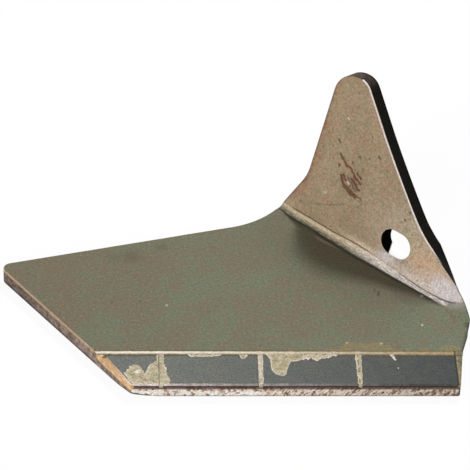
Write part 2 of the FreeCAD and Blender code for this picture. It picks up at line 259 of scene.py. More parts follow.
# The press has left two lines along the fold: its root, where the blade ends, and above that the
# dent of the press tool's shoulder. Both wander a little, and they close up towards the right.
ROOT_ALONG = [2, 10, 23, 32, 46, 56, 66, 75, 84, 99, 108, 124]
ROOT_ACROSS = [2.2, 0.2, 0.9, -0.3, -1.1, -1.0, -0.6, -0.6, -0.3, 0.2, 2.0, 3.0]
PRESS_ALONG = [-5, 8, 19, 34, 46, 56, 68, 82, 93, 103, 107, 110, 113, 116, 130]
PRESS_ACROSS = [9.6, 10.0, 10.0, 9.6, 10.5, 10.3, 8.6, 6.0, 4.9, 5.4, 6.0, 7.0, 8.7, 11.0, 15.0]


def root_line(along):
    """Where the fold's root lies across the blank."""
    return np.interp(along, ROOT_ALONG, ROOT_ACROSS)


def press_line(along):
    """Where the shoulder's dent lies across the blank."""
    return np.interp(along, PRESS_ALONG, PRESS_ACROSS)


def relief(places):
    """The plate's top above its underside. In front of the step's rear wall it is lower, the root
    and the dent sink by depth * exp(-(distance / width)^2), and the scale is uneven."""
    along, across = places.T
    top = np.where(on_blade(places)[1] < STEP_REAR, STEP_FLOOR, THICKNESS)
    root = 0.32 * between(along, 107, 99) * bell(across - root_line(along), 0.8)
    dent = 0.22 * bell(across - press_line(along), 0.45)
    scale = 0.03 * patchy(along, across, 9.0, 5) + 0.012 * patchy(along, across, 2.4, 6)
    pressed = between(along, 2, 7) * between(along, 113, 108)
    return top - pressed * (root + dent) + np.where(top == THICKNESS, scale - 0.03, 0)


WALL_SHARES = np.array([0, 0.04, 0.14, 0.26, 0.38, 0.5, 0.62, 0.74, 0.86, 1])[:, None]
quarter = np.linspace(0, math.pi / 2, 4)[:, None]


def cut_edge(loop, way, rim, foot, under, seed):
    """The rings of a flame-cut edge, from the top's border to the underside's, as places, heights
    and depths. Each ring of the rims stands in by rim * (1 - sin(turn)), or foot * (1 - sin(turn)).
    The wall between them carries the drag lines, fine ridges that lean and fade towards the top,
    and it slants in by under."""
    normal = outward(loop) * way
    top = relief(loop - normal * rim[:, None])
    wall = rim + WALL_SHARES * (top - rim - foot)
    length = np.arange(len(loop)) * OUTLINE_SPACING
    drag = patchy(length + wall * 0.25, wall * 0.12, 0.9, seed)
    wander = patchy(length + 0 * wall, wall * 0.3, 9.0, seed + 1)
    rough = np.abs((0.06 * drag * WALL_SHARES + 0.07 * wander) * np.sin(WALL_SHARES * math.pi) ** 0.5)
    rim_in, rim_drop = rim * (1 - np.sin(quarter)), rim * (1 - np.cos(quarter))
    foot_in, foot_drop = foot * (1 - np.sin(quarter)), foot * (1 - np.cos(quarter))
    inset = np.vstack([rim_in, (rough + under * WALL_SHARES)[1:-1], foot_in[::-1] + under])
    depth = np.vstack([rim_drop, wall[1:-1], top - foot_drop[::-1]])
    return loop - normal * inset[..., None], top - depth, depth


outline_along, outline_across = outline.T
outline_x, outline_y = on_blade(outline)
flank_gap = (outline_y - flank_base + outline_x * flank_slope) / math.hypot(1, flank_slope)
on_flank = (np.abs(flank_gap) < 1.5) & (outline_across < 0)
ground = between(outline_across, 20, 36) * (outline_along > peak[0] - 3)
rim_widths = 0.25 + 0.22 * ground + 0.2 * on_flank
# The front left corner is worn off below, and the flare of the upright's foot thins out backwards.
corner_gap = np.linalg.norm(outline - on_blank(EDGE_LEFT, EDGE_FRONT), axis=1)
foot_widths = 0.4 + 0.2 * on_flank + 2.0 * bell(corner_gap, 7)
THINNED_ACROSS = [-24, -12, -5, 0, 4.8, 12.8, 19.2, 22, 25.8, 30]
THINNED_BY = [0, 1.5, 2.3, 3.0, 4.0, 6.0, 6.2, 4.4, 2.2, 0]
undercut = np.interp(outline_across, THINNED_ACROSS, THINNED_BY) * (outline_along > 80)
edge_places, edge_heights, edge_depths = cut_edge(outline, 1, rim_widths, foot_widths, undercut, 11)
hole_rim = np.full(len(hole), 0.12)
hole_places, hole_heights, hole_depths = cut_edge(hole, -1, hole_rim, hole_rim, 0 * hole_rim, 17)
border, hole_border = edge_places[0], hole_places[0]

# Marks of use and storage on the faces, each from one place of the blank to another, with its half
# width and its strength. Rust stands where the upright was scraped, and specks lie scattered.
rust_marks = [
    ((24.4, 58.0), (26.0, 56.4), 0.6, 0.7), ((27.6, 51.2), (32.8, 47.2), 0.9, 1.0),
    ((32.8, 47.2), (36.0, 47.0), 0.8, 0.9), ((36.4, 46.0), (40.0, 42.6), 0.8, 1.0),
    ((39.6, 46.0), (42.6, 44.8), 0.8, 0.8), ((38.8, 44.0), (42.8, 41.8), 0.9, 0.9),
    ((30.8, 40.8), (33.6, 36.6), 1.2, 1.0), ((33.6, 36.6), (38.8, 34.0), 1.2, 1.0),
    ((38.8, 34.2), (41.2, 33.8), 1.0, 1.0), ((37.4, 41.8), (42.4, 38.4), 1.0, 0.9),
    ((35.6, 36.2), (41.6, 34.4), 1.0, 1.0), ((40.8, 35.2), (45.4, 34.2), 0.6, 0.8),
    ((31.6, 41.8), (37.2, 37.6), 0.7, 0.8), ((34.2, 42.4), (40.8, 37.0), 0.6, 0.7),
    ((28.0, 45.8), (28.3, 45.2), 0.8, 0.8), ((39.2, 55.4), (39.5, 54.8), 0.7, 0.7),
    ((44.4, 57.4), (44.6, 57.0), 0.5, 0.6), ((49.6, 60.6), (50.2, 59.9), 0.9, 0.8),
]
dark_marks = [
    ((14.8, 17.4), (20.0, 19.2), 0.35, 0.25), ((20.0, 19.2), (27.2, 22.2), 0.4, 0.4),
    ((27.2, 22.2), (36.8, 27.4), 0.4, 0.5), ((35.5, 50.6), (35.8, 50.2), 0.7, 0.9),
    ((42.3, 49.8), (42.6, 49.4), 0.5, 0.7), ((73.9, 41.8), (74.3, 41.4), 0.7, 0.8),
    ((72.2, 36.6), (72.6, 36.2), 0.8, 0.8), ((-1.8, -98.2), (-1.4, -98.6), 0.8, 0.6),
    ((-11.4, -107.8), (-11.0, -108.2), 0.9, 0.4), ((77.4, -13.2), (78.8, -15.6), 0.8, 0.9),
    ((74.6, -13.0), (75.6, -14.6), 0.7, 0.7), ((97.0, -12.0), (97.3, -12.6), 0.5, 0.4),
]
light_marks = [
    ((27.2, 71.4), (27.5, 71.0), 0.6, 0.8), ((22.8, 27.5), (24.2, 27.5), 0.6, 0.6),
    ((9.4, -91.4), (9.8, -91.8), 0.7, 0.5), ((107.8, -17.4), (108.2, -17.8), 0.6, 0.8),
    ((94.2, -0.9), (94.8, -1.2), 0.8, 0.7), ((35.2, 39.2), (36.2, 38.6), 0.8, 0.8),
]
for run, behind in ((103.0, 5.6), (119.2, 5.0)):
    x, y = EDGE_LEFT + run, STEP_REAR + behind
    light_marks.append((on_blank(x, y), on_blank(x + 0.3, y + 0.2), 0.7, 0.5))
# Oil spots, each with its middle, its reach both ways and its strength.
oil_spots = [
    ((-27.6, -76.8), (5.0, 4.0), 0.7), ((-21.6, -61.2), (2.4, 2.4), 0.7), ((-33.0, -84.0), (5.0, 3.0), 0.4),
    ((41.0, 47.0), (7.0, 7.0), 0.08), ((36.0, 38.0), (7.0, 5.0), 0.16),
]


def worn(places, marks):
    """How strongly marks cover each place, from 0 to 1: strength * (1 - (distance / half-width)^2)
    from the nearest mark's middle line."""
    cover = np.zeros(len(places))
    for start, end, width, strength in marks:
        start, run = np.array(start), np.array(end) - start
        share = np.clip((places - start) @ run / (run @ run), 0, 1)
        gap = np.linalg.norm(places - start - share[:, None] * run, axis=1)
        cover = np.maximum(cover, strength * (1 - (gap / width) ** 2))
    return cover


def spot(places, middle, size):
    """A soft patch: exp(-(along / size)^2 - (across / size)^2) from its middle."""
    return np.exp(-(((places - middle) / size) ** 2).sum(1))


# Flux has tinted the blade behind the step in two places, up to this line behind the step's wall.
STAIN_RUN = np.array([93, 98.8, 102, 105.5, 109.2, 114, 117.9, 122.5, 126, 129, 143, 147, 149.2, 153.1, 157])
STAIN_REACH = np.array([0.4, 1.4, 4.2, 6.2, 5.2, 5.8, 6.2, 4.2, 1.4, 0.3, 0.3, 1.5, 3.9, 4.2, 2.4])


def stain_line(x):
    """How far behind the step's wall the tint reaches."""
    return np.interp(x, EDGE_LEFT + STAIN_RUN, STAIN_REACH, 0, 0)


def lattice(spacing):
    """Places in rows, each second row shifted by half a space, as in a honeycomb."""
    low, high = outline.min(0), outline.max(0)
    columns, rows = np.arange(low[0], high[0], spacing), np.arange(low[1], high[1], spacing * 0.866)
    places = np.stack(np.meshgrid(columns, rows), axis=-1)
    places[1::2, :, 0] += spacing / 2
    return places.reshape(-1, 2)


def finely_marked(places):
    """Whether a place lies where the mesh has to carry fine marks."""
    along, across = places.T
    x, y = on_blade(places)
    scraped = (along > 14) & (along < 52) & (across > 16) & (across < 62)
    stained = (y > STEP_REAR) & (y < STEP_REAR + 8) & (across < -4) & (stain_line(x) > 0.35)
    near_mark = worn(places, [(*mark[:2], 2.2, 1) for mark in dark_marks + light_marks]) > 0
    return scraped | stained | near_mark


# The faces' points: a lattice, fine where it carries marks, rows that follow the fold's two lines,
# and rows on both sides of the step's wall.
FOLD_LOW, FOLD_HIGH = -2.6, 17.5
coarse, fine = lattice(1.7), lattice(0.5)
spread = np.vstack([coarse[~finely_marked(coarse)], fine[finely_marked(fine)]])
in_fold = (spread[:, 1] > FOLD_LOW - 0.5) & (spread[:, 1] < FOLD_HIGH + 0.4) & (spread[:, 0] > -1)
spread = spread[~in_fold & (np.abs(on_blade(spread)[1] - STEP_REAR - 0.3) > 0.9)]
fold_along = np.arange(0.4, FOLD_LENGTH, 1.0)
root_rows, press_rows = root_line(fold_along), press_line(fold_along)
knots = np.stack([
    np.full(len(fold_along), FOLD_LOW), root_rows - 0.9, root_rows + 0.9, press_rows - 0.7, press_rows + 0.7,
    np.maximum(press_rows + 1.6, FOLD_HIGH)])
ROWS_TO_KNOT = (2, 6, 8, 6, 7)
row_shares = np.concatenate([knot + np.arange(rows) / rows for knot, rows in enumerate(ROWS_TO_KNOT)] + [[5]])
fold_across = np.stack([np.interp(row_shares, np.arange(6), column) for column in knots.T], axis=1)
fold_rows = np.stack([np.broadcast_to(fold_along, fold_across.shape), fold_across], axis=-1).reshape(-1, 2)
step_x = np.arange(EDGE_LEFT - 16, STEP_RIGHT, 1.2)
step_rows = [np.array([on_blank(x, STEP_REAR + gap) for x in step_x]) for gap in (-0.03, 0.03, 0.45)]
spread = np.vstack([spread, fold_rows, *step_rows])
spread = spread[inside(spread, border[::3]) & ~inside(spread, hole)]
for loop in (border[::2], hole_border):
    spread = spread[np.linalg.norm(spread[:, None] - loop[None], axis=2).min(1) > 0.6]

flat = np.vstack([border, hole_border, spread])
loops = [(0, len(border)), (len(border), len(hole_border))]
links = [(first + i, first + (i + 1) % count) for first, count in loops for i in range(count)]
cdt = delaunay_2d_cdt([tuple(place) for place in flat], links, [], 1, 1e-5)
assert len(cdt[0]) == len(flat), "the lattice has points that fall together"
order = np.array([found[0] for found in cdt[3]])
triangles = order[np.array(cdt[2])]
triangles = triangles[~inside(flat[triangles].mean(1), hole_border)]
a, b, c = (flat[triangles[:, i]] for i in range(3))
area = (b[:, 0] - a[:, 0]) * (c[:, 1] - a[:, 1]) - (b[:, 1] - a[:, 1]) * (c[:, 0] - a[:, 0])
triangles[area < 0] = triangles[area < 0][:, ::-1]

# The underside repeats the faces' points, drawn in where the edge is undercut.
top_count = len(flat)
nearest = np.array([np.linalg.norm(outline - place, axis=1).argmin() for place in spread])
to_edge = np.linalg.norm(outline[nearest] - spread, axis=1)
drawn_in = undercut[nearest] * between(to_edge, 20, 0)
under_spread = spread - outward(outline)[nearest] * drawn_in[:, None]
under_flat = np.vstack([edge_places[-1], hole_places[-1], under_spread])
blank = np.vstack([flat, under_flat, edge_places[1:-1].reshape(-1, 2), hole_places[1:-1].reshape(-1, 2)])
top_heights = [edge_heights[0], hole_heights[0], relief(spread)]
wall_heights = [edge_heights[1:-1].ravel(), hole_heights[1:-1].ravel()]
heights = np.concatenate([*top_heights, np.zeros(top_count), *wall_heights])


def wall_quads(first_in_flat, count, first_in_blank):
    """The quads of one wall: the top's border ring, the wall's own rings, the underside's border."""
    own = first_in_blank + np.arange((len(edge_places) - 2) * count).reshape(-1, count)
    border_ring = first_in_flat + np.arange(count)
    here = np.vstack([border_ring, own, border_ring + top_count])
    beside = np.roll(here, -1, axis=1)
    return np.stack([here[:-1], here[1:], beside[1:], beside[:-1]], axis=-1).reshape(-1, 4)


edge_wall = wall_quads(0, len(border), 2 * top_count)
hole_first = 2 * top_count + (len(edge_places) - 2) * len(border)
hole_wall = wall_quads(len(border), len(hole_border), hole_first)[:, ::-1]
under_triangles = triangles[:, ::-1] + top_count
faces = [face for part in (triangles, under_triangles, edge_wall, hole_wall) for face in part.tolist()]
plate_places = folded(blank[:, 0], blank[:, 1], heights)
plate = new_piece("folded_plate", plate_places, faces, "share_plate")

# What the faces' material reads: where the place lies in the fold, and the marks on it.
right_of_blade = (outline_along > 92) & (outline_across > -50) & (outline_across < 1)
left_of_upright = (outline_across > BEND_RUN + 2) & (outline_along < 16.6)
border_dark = 0.95 * right_of_blade + 0.5 * left_of_upright
along, across = blank.T
blank_x, blank_y = on_blade(blank)
behind_step = blank_y - STEP_REAR
on_blade_part, on_upright_part = across < 0.5, across > 0
root_gap, press_gap = across - root_line(along), across - press_line(along)
stain_reach = stain_line(blank_x)
stain_reach += np.sign(stain_reach) * (
    1.1 * patchy(along, across, 1.8, 23) + 0.6 * patchy(along, across, 0.8, 24))
stain_depth = np.where((across < -4) & (behind_step > 0), stain_reach - behind_step, -9)
crease_gap = across - np.interp(along, [14, 27, 34, 40, 48], [-3.8, -3.2, -2.4, -2.1, -2.0])
left_side = np.array([left_foot, left_hollow, peak_left])
left_gap = along - np.interp(across, left_side[:, 1], left_side[:, 0])
# How far the painted shadow of the upright reaches over the blade, in front of the fold.
lobe = np.interp(
    along, [6, 12, 24, 42, 52, 62, 70, 78, 88, 95, 106], [0.5, 4, 12, 20, 21, 21, 21, 20, 17, 11, 1])
smeared = 0.5 * np.stack([patchy(along, across, 1.2, seed) for seed in (31, 32)], axis=1)
# Painted shade: broad darkening of the blade round the upright's shadow and in front of the fold's right end.
shades = np.maximum(0.47 * spot(blank, (50, -13), (52, 19)), 0.85 * spot(blank, (86, -6), (13, 6)))
store(
    plate,
    front=np.arange(len(blank)) < top_count,
    root=root_gap,
    press=press_gap,
    fold_share=between(across, root_line(along), press_line(along)) * between(along, -31.5, 13.5),
    root_end=between(along, 106, 99) * between(along, -1, 2),
    press_width=press_gap / (1.25 + 0.7 * between(along, 96, 104)),
    # Painted light: a pale band over the dent towards the fold's right end.
    bleached=bell(press_gap - 3.5, 5) * between(along, 60, 86) * between(along, 118, 112),
    outline_dark=np.concatenate([border_dark, np.zeros(len(blank) - len(border))]),
    redness=bell(left_gap, 3.5) * (across > BEND_RUN + 4),
    rightward=between(along, 40, 72),
    fold_end=between(along, 109, 107) * between(along, -1, 2),
    greener=between(blank_x, -90, 60),
    crease=0.6 * bell(crease_gap, 0.45) * between(along, 48, 38) * between(along, 12, 16),
    press_mark=np.interp(along, [5, 9, 55, 62, 76, 84, 111, 114], [0, 1, 0.85, 0.1, 0.3, 0.9, 0.8, 0]),
    rust=worn(blank + smeared, rust_marks),
    speck=worn(blank, dark_marks),
    fleck=worn(blank, light_marks),
    oil=sum(strength * spot(blank, middle, size) for middle, size, strength in oil_spots),
    stain=between(stain_depth, 0, 0.7),
    stain_rim=bell(stain_depth - 0.5, 0.7),
    # Painted shade: a dark line on the plate at the top of the step's rear wall.
    ledge=np.where(across < -4, between(np.abs(behind_step - 0.1), 0.4, 0), 0)
    * np.maximum(between(blank_x, EDGE_LEFT + 95, EDGE_LEFT + 55), 0.1),
    sooty=between(across, -lobe, 0) * on_blade_part * between(along, 106, 98),
    dim=shades * on_blade_part * between(along, 106, 98),
    # Painted light round the hole, and warmer painted light low on the upright's right.
    rubbed=np.minimum(1.2 * spot(blank, (80, 30), (26, 15)), 1) * on_upright_part,
    warm=spot(blank, (92, 19), (15, 9)),
    # Painted highlight just above the press dent.
    glow=bell(press_gap - 1.4, 1.9) * spot(blank, (54, 12), (13, 9)),
    # Painted highlights below the hole and at the fold's right end.
    sheen=np.minimum(spot(blank, (67.5, 12.5), (5.5, 3.4)) + 1.7 * spot(blank, (104.5, 12.5), (9, 6.5)), 1),
    # Painted shade: a dark patch below the hole.
    dusk=spot(blank, (77, 14.5), (4, 2.2)),
    along_fold=along,
)

# What the cut edge's material reads: how deep below the rim a place lies, and how scorched it is.
border_along, border_across = border.T
tone = np.full(len(outline), 0.02)
tone[on_flank] = np.interp(outline_x[on_flank], [EDGE_LEFT - 50, EDGE_LEFT - 25], [0.62, 1.0])
tone[(border_across < -1) & ~on_flank & (outline_x < right_foot[0] - 20)] = 0.45
# The cut over the peak is painted lighter towards its left, as painted light.
at_peak = (border_across > rise + 80) & (border_along < peak[0] + 2)
tone[at_peak] = 0.45 * between(border_along[at_peak], peak[0] + 4, peak[0] - 10)
tone = np.convolve(np.concatenate([tone[-4:], tone, tone[:4]]), np.ones(9) / 9, "valid")
# The bore's bright part starts at its lower side and reaches further left deep in the bore.
hole_normal = outward(hole)
bright_from = -0.17 - 0.08 * hole_depths
lower_wall = np.clip((0.35 - hole_normal[:, 1]) * 3, 0, 1)
lower_wall = lower_wall * np.clip((hole_normal[:, 0] - bright_from) * 3, 0, 1)
ring_number = np.arange(len(edge_depths))[:, None]


def on_walls(edge, hole_edge):
    """One number for each vertex of the plate, from those of the two walls' rings."""
    rest = np.zeros(len(spread))
    border_values = [np.concatenate([edge[end], hole_edge[end], rest]) for end in (0, -1)]
    return np.concatenate([*border_values, edge[1:-1].ravel(), hole_edge[1:-1].ravel()])


store(
    plate,
    depth=on_walls(edge_depths, hole_depths),
    tone=on_walls(tone + 0 * edge_depths, 0 * hole_depths),
    bare=on_walls(ground * (ring_number < 4), 0 * hole_depths),
    flank_rim=on_walls(on_flank * (ring_number < 5), 0 * hole_depths),
    lower_wall=on_walls(0 * edge_depths, lower_wall),
)


def linear(code):
    """An sRGB hex colour as linear light, by the sRGB transfer curve."""
    value = np.array([int(code[i:i + 2], 16) for i in (0, 2, 4)]) / 255
    value = np.where(value <= 0.04045, value / 12.92, ((value + 0.055) / 1.055) ** 2.4)
    return (*value.tolist(), 1.0)


def add(owner, kind, values=None, links=None, **settings):
    """Add one node: settings are its properties, values its inputs, links the sockets it reads."""
    node = owner.node_tree.nodes.new(kind)
    for name, value in settings.items():
        setattr(node, name, value)
    for name, value in (values or {}).items():
        node.inputs[name].default_value = value
    for name, socket in (links or {}).items():
        owner.node_tree.links.new(socket, node.inputs[name])
    return node


def new_material(name, roughness, metallic, specular, noises):
    """A material and the sockets of its noises. Each noise has the size in millimetres of its
    largest patches, its detail and its roughness."""
    material = bpy.data.materials.new(name)
    material.use_nodes = True
    shader = material.node_tree.nodes["Principled BSDF"]
    for key, value in (("Roughness", roughness), ("Metallic", metallic), ("Specular IOR Level", specular)):
        shader.inputs[key].default_value = value
    place = add(material, "ShaderNodeTexCoord").outputs["Object"]
    fields = []
    for size, detail, rough in noises:
        values = {"Scale": 1 / (size * MM), "Detail": detail, "Roughness": rough}
        fields.append(add(material, "ShaderNodeTexNoise", values, {"Vector": place}).outputs["Fac"])
    return material, *fields


def share_of(owner, *masks):
    """The product of masks. A mask is a socket or the name of a number in the mesh, alone or with
    the two values between which it runs and the share that it gives at each."""
    share = None
    for mask in masks:
        value, *span = mask if isinstance(mask, tuple) else (mask,)
        if isinstance(value, str):
            value = add(owner, "ShaderNodeAttribute", attribute_name=value).outputs["Fac"]
        if span:
            start, end, low, high = span
            settings = {1: start, 2: end, 3: low, 4: high}
            value = add(owner, "ShaderNodeMapRange", settings, {0: value}).outputs[0]
        if share is not None:
            value = add(owner, "ShaderNodeMath", links={0: share, 1: value}, operation="MULTIPLY").outputs[0]
        share = value
    return share


def painted(material, colour, *layers):
    """Colours laid over one another, each a hex value or a socket, and each with its masks."""
    for layer, *masks in layers:
        mix = add(material, "ShaderNodeMix", links={0: share_of(material, *masks)}, data_type="RGBA")
        for index, part in ((6, colour), (7, layer)):
            if isinstance(part, str):
                mix.inputs[index].default_value = linear(part)
            else:
                material.node_tree.links.new(part, mix.inputs[index])
        colour = mix.outputs[2]
    return colour


def finish(material, colour, fine, shade, bump_mm):
    """Give the shader its colour, darkened and lightened by fine noise, which is its bump as well."""
    shader = material.node_tree.nodes["Principled BSDF"]
    value = share_of(material, (fine, 0.36, 0.64, 1 - shade, 1 + shade))
    graded = add(material, "ShaderNodeHueSaturation", links={"Color": colour, "Value": value})
    bump = add(material, "ShaderNodeBump", {"Strength": 1.0, "Distance": bump_mm * MM}, {"Height": fine})
    material.node_tree.links.new(graded.outputs["Color"], shader.inputs["Base Color"])
    material.node_tree.links.new(bump.outputs["Normal"], shader.inputs["Normal"])


# Hot-rolled plate: dull mill scale, brown to grey-green on the blade. The upright was heated for
# the fold, which tints it straw, and the press tools have rubbed the fold itself pale. Across the
# fold it is painted dark at the root and light below the dent, as painted shade and light.
steel, broad, mottle, grain, dust = new_material(
    "hot-rolled steel with heat tint", 0.6, 0.0, 0.3,
    [(22, 3, 0.6), (5, 4, 0.6), (1, 4, 0.85), (1.6, 3, 0.6)])
blade = painted(
    steel, "6D634D",
    ("686E57", "greener"),
    ("6C6450", (broad, 0.46, 0.62, 0, 0.8)),
    ("66705A", (broad, 0.5, 0.36, 0, 0.6)),
    ("74614A", (mottle, 0.5, 0.68, 0, 0.5)),
    ("616C56", (mottle, 0.5, 0.32, 0, 0.5)),
    ("66523B", (dust, 0.54, 0.68, 0, 0.45)),
    ("7C836B", (dust, 0.45, 0.32, 0, 0.45)))
upright = painted(
    steel, "9C886D",
    ("A79276", (broad, 0.4, 0.6, 0, 1)),
    # Painted light: lighter round the hole, warm and light low on the right, and pale over the dent.
    ("B5A58E", "rubbed"),
    ("D3B292", "warm"),
    ("E2D4C9", "bleached", (mottle, 0.36, 0.66, 1, 0.6)),
    ("A87C60", (mottle, 0.52, 0.7, 0, 0.5)),
    ("8F8867", (mottle, 0.48, 0.3, 0, 0.5)),
    ("7C5A42", (dust, 0.56, 0.68, 0, 0.5)),
    ("BBA78C", (dust, 0.42, 0.32, 0, 0.4)),
    ("9C6548", "redness", (mottle, 0.4, 0.62, 0.1, 0.9)))
# The press tool has brushed the fold, in marks that run along it and about 0.7 mm apart, and its end
# has left marks across them. Both are noise on places along and across the fold in millimetres.
fold_axes = {axis: share_of(steel, name) for axis, name in (("X", "along_fold"), ("Y", "root"))}
fold_place = add(steel, "ShaderNodeCombineXYZ", links=fold_axes).outputs[0]
brushes = []
for turn, scale, rough in ((0.16, (0.3, 1.5, 1), 0.65), (0.25, (1.6, 0.2, 1), 0.6)):
    values = {"Rotation": (0, 0, turn), "Scale": scale}
    turned = add(steel, "ShaderNodeMapping", values, {"Vector": fold_place}).outputs[0]
    values = {"Scale": 1.0, "Detail": 3, "Roughness": rough}
    brushes.append(add(steel, "ShaderNodeTexNoise", values, {"Vector": turned}).outputs["Fac"])
brushed, crossed = brushes
# The fold: rubbed pale by the press, with painted shade at its root and painted light towards the dent.
fold_left = painted(
    steel, "505040",
    ("DCC5A2", ("fold_share", 0.2, 0.7, 0, 1)),
    ("E2D5BE", (brushed, 0.5, 0.64, 0, 0.7)),
    ("7E795F", (brushed, 0.5, 0.37, 0, 0.65)))
fold_right = painted(steel, "B1A498", ("FFF8F1", (brushed, 0.42, 0.56, 0, 1)))
fold = painted(steel, fold_left, (fold_right, "rightward"))
press_tint = painted(steel, "4A3526", ("514A4E", "rightward"))
tint = painted(
    steel, blade,
    (fold, ("root", -0.2, 0.5, 0, 1), "fold_end"),
    (upright, ("press", -0.15, 0.25, 0, 1)),
    # Painted highlight just above the press dent.
    ("D8C0A4", "glow"),
    # Painted highlights below the hole and at the fold's right end.
    ("DDD3D4", "sheen", (crossed, 0.34, 0.6, 0.5, 1)),
    # Painted shade: a dark patch below the hole.
    ("8E8474", "dusk", ("press", 0.2, 1.2, 0, 0.35)),
    # Painted shadow of the upright on the blade, which deepens the rear lamp's real one.
    ("453B29", ("sooty", 0, 0.8, 0, 0.4)),
    # Painted shade on the blade near the fold.
    ("4A4333", "dim"),
    # Painted shade: a dark line in the crease at the fold's root.
    ("34332A", ("root", -1.4, -0.6, 0, 1), ("root", 0.6, 1.5, 1, 0), "root_end"),
    ("A6957F", "crease"),
    # Painted shade on the dent's lower flank, below the press line.
    ("73664F", ("press", -2.6, -0.6, 0, 0.55), ("press", -0.2, 0.2, 1, 0), ("rightward", 0, 0.9, 1, 0.1),
     "press_mark"),
    (press_tint, ("press_width", -0.6, -0.15, 0, 1), ("press_width", 0.15, 0.6, 1, 0), "press_mark"),
    ("584C36", "oil"),
    ("857950", "stain", (mottle, 0.35, 0.62, 0.9, 0.4)),
    ("93753F", "stain_rim", (mottle, 0.4, 0.6, 0.1, 0.75)),
    # Painted shade along the top of the step's rear wall.
    ("3C3728", ("ledge", 0, 1, 0, 0.75)),
    ("5C2A10", ("rust", 0, 0.55, 0, 0.95), (grain, 0.36, 0.55, 0.45, 1)),
    ("3A2E22", "speck"),
    ("E4DCD0", "fleck"),
    ("2A2A22", "outline_dark"))
underside = painted(steel, "6E6656", ("837862", (broad, 0.4, 0.6, 0, 1)))
finish(steel, painted(steel, underside, (tint, "front")), grain, 0.34, 0.03)

# The cut: oxide-black and ridged by the flame, browner on the flank, where it has rusted.
scorched, streaks, grit_noise = new_material(
    "flame-cut edge", 0.9, 0.0, 0.05, [(2.6, 5, 0.6), (0.9, 3, 0.7)])
flank_brown = painted(
    scorched, "74655A", ("A89488", (streaks, 0.4, 0.62, 0, 1)), ("332A24", ("depth", 5.6, 7.4, 0, 0.8)))
cut_tint = painted(
    scorched, "0E0F0A",
    (flank_brown, "tone"),
    # Painted highlight along the flank's top rim.
    ("C0A284", ("flank_rim", 0.2, 0.8, 0, 0.8)),
    ("F4E6E0", ("bare", 0.3, 0.6, 0, 1)))
finish(scorched, cut_tint, grit_noise, 0.16, 0.05)

# The bolt has polished the bore's lower wall, which mirrors the white card; the rest of the bore is painted
# black, as painted shade.
bore, bore_noise = new_material("polished bore", 0.3, 0.0, 0.0, [(1.5, 3, 0.6)])
lower = share_of(bore, ("lower_wall", 0.2, 0.5, 0, 1))
bore.node_tree.links.new(lower, bore.node_tree.nodes["Principled BSDF"].inputs["Metallic"])
finish(bore, painted(bore, "0E0F0A", ("FFFFFF", lower)), bore_noise, 0.03, 0.004)
for material in (steel, scorched, bore):
    plate.data.materials.append(material)
face_materials = np.zeros(len(faces), np.int32)
face_materials[2 * len(triangles):] = 1
face_materials[-len(hole_wall):] = 2
plate.data.polygons.foreach_set("material_index", face_materials)

# Tiles
# Four tiles of sintered tungsten carbide, pressed and fired, so their faces are dull, dark and
# nearly flat and their edges are only just broken. The first is cut off along the wing's flank.
TILE_WIDTH = 19.5
TILE_TOP = THICKNESS
TILE_BED = THICKNESS - 2.5
TILE_REAR = EDGE_FRONT + TILE_WIDTH
FIRST_TILE_RUN = TILE_WIDTH / math.tan(math.radians(58))


def tile_surface(corners, spacing, seed):
    """A closed block as rings round its outline: up the sides, over the broken edge and in to the
    middle of the top, ring after ring of middle + share * (outline - middle). With it come the
    marks of a painted highlight over the upper 1.3 mm of the faces that turn to the front, and
    of painted shade below it."""
    loop = rounded_outline([(x, y, 0.45) for x, y in corners], spacing)
    normal = outward(loop)
    count = len(loop)
    middle = loop.mean(0)
    ring = np.arange(count)
    run = ring * spacing
    chips = 0.9 * np.maximum(patchy(run, 0 * run, 1.7, seed) - 0.55, 0)
    edge_round = 0.28 + 0.06 * patchy(run, 0 * run, 4.0, seed + 1)
    wavy = 0.02 * (1 + patchy(ring * 0.5, 0 * run, 3.0, seed + 2))
    sides = [loop - normal * 0.04, loop - normal * wavy[:, None], loop - normal * wavy[:, None]]
    side_heights = [np.full(count, TILE_BED + above) for above in (0, 1.05, 1.25)]
    for turn in np.linspace(0, math.pi / 2, 5):
        inset = edge_round * (1 - math.cos(turn)) + chips * 0.5 * math.sin(turn)
        drop = edge_round * (1 - math.sin(turn)) + chips * (0.3 - 0.2 * math.sin(turn))
        sides.append(loop - normal * inset[:, None])
        side_heights.append(TILE_TOP - drop)
    shares = np.concatenate([[0.985], np.linspace(0.95, 0.03, 22)])
    inner = middle + shares[:, None, None] * (sides[-1] - middle)
    uneven = 0.035 * patchy(inner[..., 0], inner[..., 1], 6.0, seed + 3)
    uneven += 0.012 * patchy(inner[..., 0], inner[..., 1], 1.3, seed + 4)
    places = np.concatenate([np.stack(sides), inner])
    heights = np.concatenate([np.stack(side_heights), TILE_TOP + uneven - 0.02])
    points = np.concatenate([places, heights[..., None]], axis=-1).reshape(-1, 3)
    centre = [[*middle, TILE_BED], [*middle, TILE_TOP - 0.02]]
    rings = len(places)
    last = (rings - 1) * count
    under = [[rings * count, (i + 1) % count, i] for i in range(count)]
    cap = [[rings * count + 1, last + i, last + (i + 1) % count] for i in range(count)]
    faces_front = between(-normal[:, 1], 0, 0.625)
    # Painted highlight on the faces that turn to the front, and painted shade below it.
    bright, shadowed = np.zeros((2, rings, count))
    bright[2:len(sides) - 1] = faces_front * (0.85 + 0.3 * patchy(run, 0 * run, 2.2, seed + 5))
    shadowed[:2] = faces_front
    marks = [np.concatenate([values.ravel(), [0, 0]]) for values in (bright, shadowed)]
    return np.vstack([points, centre]), [*ring_quads(rings, count).tolist(), *under, *cap], marks


